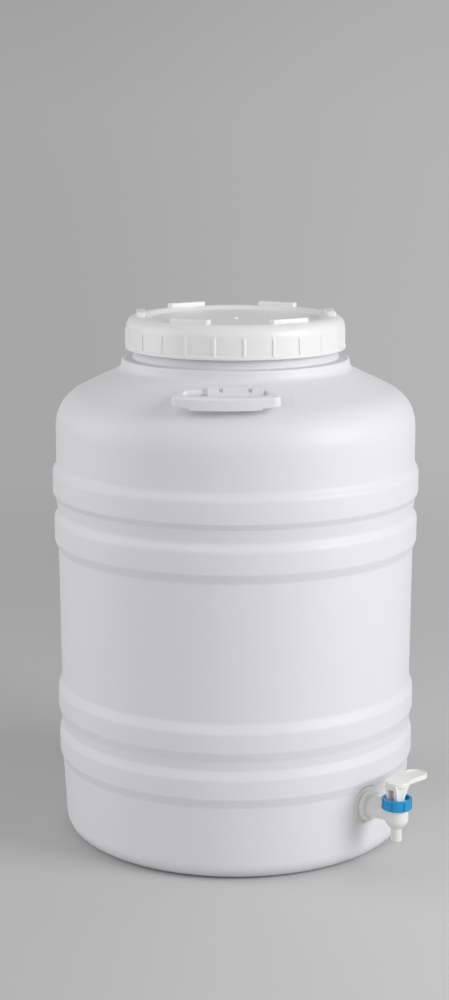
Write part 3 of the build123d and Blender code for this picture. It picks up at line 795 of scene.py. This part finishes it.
for side, slid, node in ((-1, FRONT_SLID, "front_handle"), (1, 0.0, "rear_handle")):
    piece = reshaped(node + "_spread", node, spread_arms(side, slid))
    finish_piece(piece, node, handle_white, "handle_plastic", node)
piece = reshaped("lever_full", "tap_lever", shape_lever)
finish_piece(piece, "lever", lever_white, "lever_plastic", "tap_lever")
piece = reshaped("tap_barrel", "tap_body", shape_tap_body)
finish_piece(piece, "drum", tap_white, "tap_plastic", "tap_body")


def make_seat_cup():
    """Silicone cup whose rim is clamped in the drum's tap; its mesh is baked in place."""
    cup = reshaped("seat_cup_soft", "tap_seat_cup")
    cup.data.materials.append(silicone)
    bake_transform(cup)
    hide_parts("tap_seat_cup")


def make_spring():
    """Valve spring that rides with the drum, in a mesh of its own."""
    spring = reshaped("spring_soft", "tap_spring")
    finish_piece(spring, "drum", steel, "spring_steel", "tap_spring")
    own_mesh(spring)


make_seat_cup()
make_spring()

# Stage, light and camera


def grey(value):
    """Linear grey of an 8-bit display value."""
    v = value / 255.0
    return ((v + 0.055) / 1.055) ** 2.4


# Background tones, left and right: painted shade on the left and painted light on the right, as the
# key lamp stands on the right.
BACKGROUND_SHADED_LEFT_LIT_RIGHT = (grey(167), grey(180))  # on the left and on the right
# Floor colours, left and right: painted shade on the left and painted light on the right, as the
# key lamp stands on the right.
FLOOR_SHADED_LEFT_LIT_RIGHT = (0.53, 0.62)
FLOOR_R = 30.0
FLOOR_ENDS = (0.35, 2.2)  # distances between which the floor passes over to the background
SIDE_REACH = 0.13
WORLD_LEVEL = 0.43
WORLD_TOP = 0.86  # tone higher up, as a share of the tone at the horizon
WORLD_TOP_AT = 0.12


def painted_side_shade(nodes, links, source, tones):
    """Grey that passes smoothly between two tones with the source vector's x: painted shade on the
    left, painted light on the right.
    """
    split = nodes.new("ShaderNodeSeparateXYZ")
    across = smooth_range(nodes, -SIDE_REACH, SIDE_REACH)
    mix = colour_mix(nodes)
    for socket, tone in zip((MIX_A, MIX_B), tones):
        mix.inputs[socket].default_value = (tone, tone, tone, 1)
    links.new(source, split.inputs["Vector"])
    links.new(split.outputs["X"], across.inputs["Value"])
    links.new(across.outputs["Result"], mix.inputs["Factor"])
    return mix.outputs[MIX_RESULT]


def make_stage():
    """Round pale floor that takes the object's shadow and becomes the background's tone far out."""
    bpy.ops.mesh.primitive_circle_add(vertices=96, radius=FLOOR_R, fill_type="NGON")
    floor = bpy.context.object
    floor.name = "floor"
    material = bpy.data.materials.new("Pale floor")
    material.use_nodes = True
    nodes = material.node_tree.nodes
    links = material.node_tree.links
    shader = nodes["Principled BSDF"]
    shader.inputs["Roughness"].default_value = 0.8
    coords = nodes.new("ShaderNodeTexCoord")
    length = nodes.new("ShaderNodeVectorMath")
    length.operation = "LENGTH"
    far = smooth_range(nodes, *FLOOR_ENDS)
    glow = nodes.new("ShaderNodeEmission")
    path = nodes.new("ShaderNodeLightPath")
    seen = math_node(nodes, "MAXIMUM")
    through = math_node(nodes, "MAXIMUM")
    share = math_node(nodes, "MULTIPLY")
    mix = nodes.new("ShaderNodeMixShader")
    raised = nodes.new("ShaderNodeVectorMath")
    raised.inputs[1].default_value = (0, 0, 2)
    outward = nodes.new("ShaderNodeVectorMath")
    outward.operation = "NORMALIZE"
    links.new(coords.outputs["Object"], raised.inputs[0])
    links.new(raised.outputs["Vector"], outward.inputs[0])
    # The floor's colour carries painted shade on its left and painted light on its right.
    near_painted_shade = painted_side_shade(nodes, links, outward.outputs["Vector"], FLOOR_SHADED_LEFT_LIT_RIGHT)
    # The far floor's glow carries the background's painted shade on the left and painted light on
    # the right.
    far_painted_shade = painted_side_shade(nodes, links, outward.outputs["Vector"], BACKGROUND_SHADED_LEFT_LIT_RIGHT)
    links.new(near_painted_shade, shader.inputs["Base Color"])
    links.new(far_painted_shade, glow.inputs["Color"])
    links.new(coords.outputs["Object"], length.inputs[0])
    links.new(length.outputs["Value"], far.inputs["Value"])
    links.new(path.outputs["Is Camera Ray"], seen.inputs[0])
    links.new(path.outputs["Is Glossy Ray"], seen.inputs[1])
    links.new(seen.outputs["Value"], through.inputs[0])
    links.new(path.outputs["Is Transmission Ray"], through.inputs[1])
    links.new(through.outputs["Value"], share.inputs[0])
    links.new(far.outputs["Result"], share.inputs[1])
    links.new(share.outputs["Value"], mix.inputs["Fac"])
    links.new(shader.outputs["BSDF"], mix.inputs[1])
    links.new(glow.outputs["Emission"], mix.inputs[2])
    links.new(mix.outputs["Shader"], nodes["Material Output"].inputs["Surface"])
    floor.data.materials.append(material)


def make_world():
    """Even white surroundings as light; the camera sees the background, a bit darker higher up."""
    world = bpy.data.worlds.new("Studio")
    bpy.context.scene.world = world
    world.use_nodes = True
    nodes = world.node_tree.nodes
    links = world.node_tree.links
    nodes.clear()
    out = nodes.new("ShaderNodeOutputWorld")
    light = nodes.new("ShaderNodeBackground")
    light.inputs["Color"].default_value = (1, 1, 1, 1)
    light.inputs["Strength"].default_value = WORLD_LEVEL
    seen = nodes.new("ShaderNodeBackground")
    coords = nodes.new("ShaderNodeTexCoord")
    split = nodes.new("ShaderNodeSeparateXYZ")
    ramp = nodes.new("ShaderNodeValToRGB")
    ramp.color_ramp.elements[0].color = (1, 1, 1, 1)
    ramp.color_ramp.elements[1].position = WORLD_TOP_AT
    ramp.color_ramp.elements[1].color = (WORLD_TOP, WORLD_TOP, WORLD_TOP, 1)
    shade = colour_mix(nodes)
    shade.blend_type = "MULTIPLY"
    shade.inputs["Factor"].default_value = 1.0
    # The background the camera sees has painted shade on its left and painted light on its right.
    tone = painted_side_shade(nodes, links, coords.outputs["Generated"], BACKGROUND_SHADED_LEFT_LIT_RIGHT)
    path = nodes.new("ShaderNodeLightPath")
    mix = nodes.new("ShaderNodeMixShader")
    links.new(coords.outputs["Generated"], split.inputs["Vector"])
    links.new(split.outputs["Z"], ramp.inputs["Fac"])
    links.new(tone, shade.inputs[MIX_A])
    links.new(ramp.outputs["Color"], shade.inputs[MIX_B])
    links.new(shade.outputs[MIX_RESULT], seen.inputs["Color"])
    links.new(path.outputs["Is Camera Ray"], mix.inputs["Fac"])
    links.new(light.outputs["Background"], mix.inputs[1])
    links.new(seen.outputs["Background"], mix.inputs[2])
    links.new(mix.outputs["Shader"], out.inputs["Surface"])


LAMP_TARGET = (0, 0, 0.3)
LAMPS = [  # name, place, size and power
    ("key", (2.05, -1.08, 1.2), 1.3, 38),
    ("front fill", (-1.0, -2.6, 1.3), 1.8, 8),
    ("left fill", (-2.35, -0.15, 1.05), 1.8, 22),
]


def soft_lamp(name, place, size, power):
    """Square area lamp that faces LAMP_TARGET."""
    data = bpy.data.lights.new(name, "AREA")
    data.size = size
    data.energy = power
    lamp = bpy.data.objects.new(name, data)
    bpy.context.collection.objects.link(lamp)
    lamp.location = place
    x, y, z = np.subtract(LAMP_TARGET, place)
    lamp.rotation_euler = (math.atan2(math.hypot(x, y), -z), 0, math.atan2(y, x) - math.pi / 2)


CAMERA_AT = (0, -1.996, 0.7485)
CAMERA_TIP = 11.3  # degrees downwards
LENS = 70.2
SENSOR = 36.0
SHIFT_X = -0.0111


def make_camera():
    """Camera of the photograph: 2 m in front, 0.75 m up, tipped down."""
    data = bpy.data.cameras.new("Camera")
    camera = bpy.data.objects.new("Camera", data)
    bpy.context.collection.objects.link(camera)
    data.sensor_width = SENSOR
    data.lens = LENS
    data.shift_x = SHIFT_X
    camera.location = CAMERA_AT
    camera.rotation_euler = (math.radians(90 - CAMERA_TIP), 0, 0)
    bpy.context.scene.camera = camera


make_stage()
make_world()
for lamp in LAMPS:
    soft_lamp(*lamp)
make_camera()
bpy.context.scene.view_settings.view_transform = "Standard"
